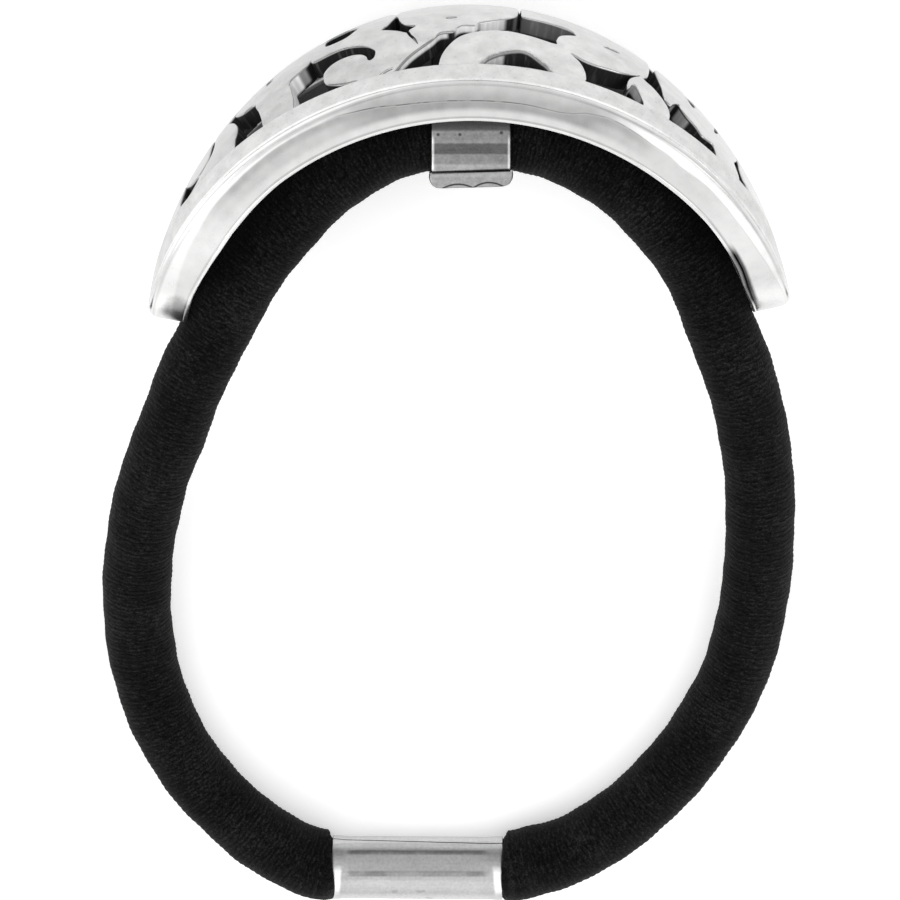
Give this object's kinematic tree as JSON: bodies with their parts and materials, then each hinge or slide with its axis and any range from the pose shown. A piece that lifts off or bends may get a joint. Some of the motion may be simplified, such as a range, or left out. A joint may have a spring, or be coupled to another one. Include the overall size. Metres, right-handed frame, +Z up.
{
  "type": "hair tie",
  "caption": "Hair tie: a curved, pierced scroll plate in silver-coloured metal, held by a keeper on a loop of black covered elastic that a pressed metal sleeve closes.",
  "frame": {"origin": "middle of the overall box, on the surface that the tie lies on", "axes": "+Y from the sleeve to the plate, +X across the loop, +Z up from the surface"},
  "size_m": [0.0583, 0.0797, 0.023],
  "materials": {
    "silver_metal": "polished silver plate over cast zinc alloy, with dark antiqued recesses",
    "black_elastic": "matt black yarn wound tightly round a rubber core",
    "grey_metal": "dull nickel plate with long rolling marks"
  },
  "bodies": {
    "root": {"scroll_plate": "silver_metal", "elastic_loop": "black_elastic", "sleeve": "grey_metal"}
  },
  "joints": []
}
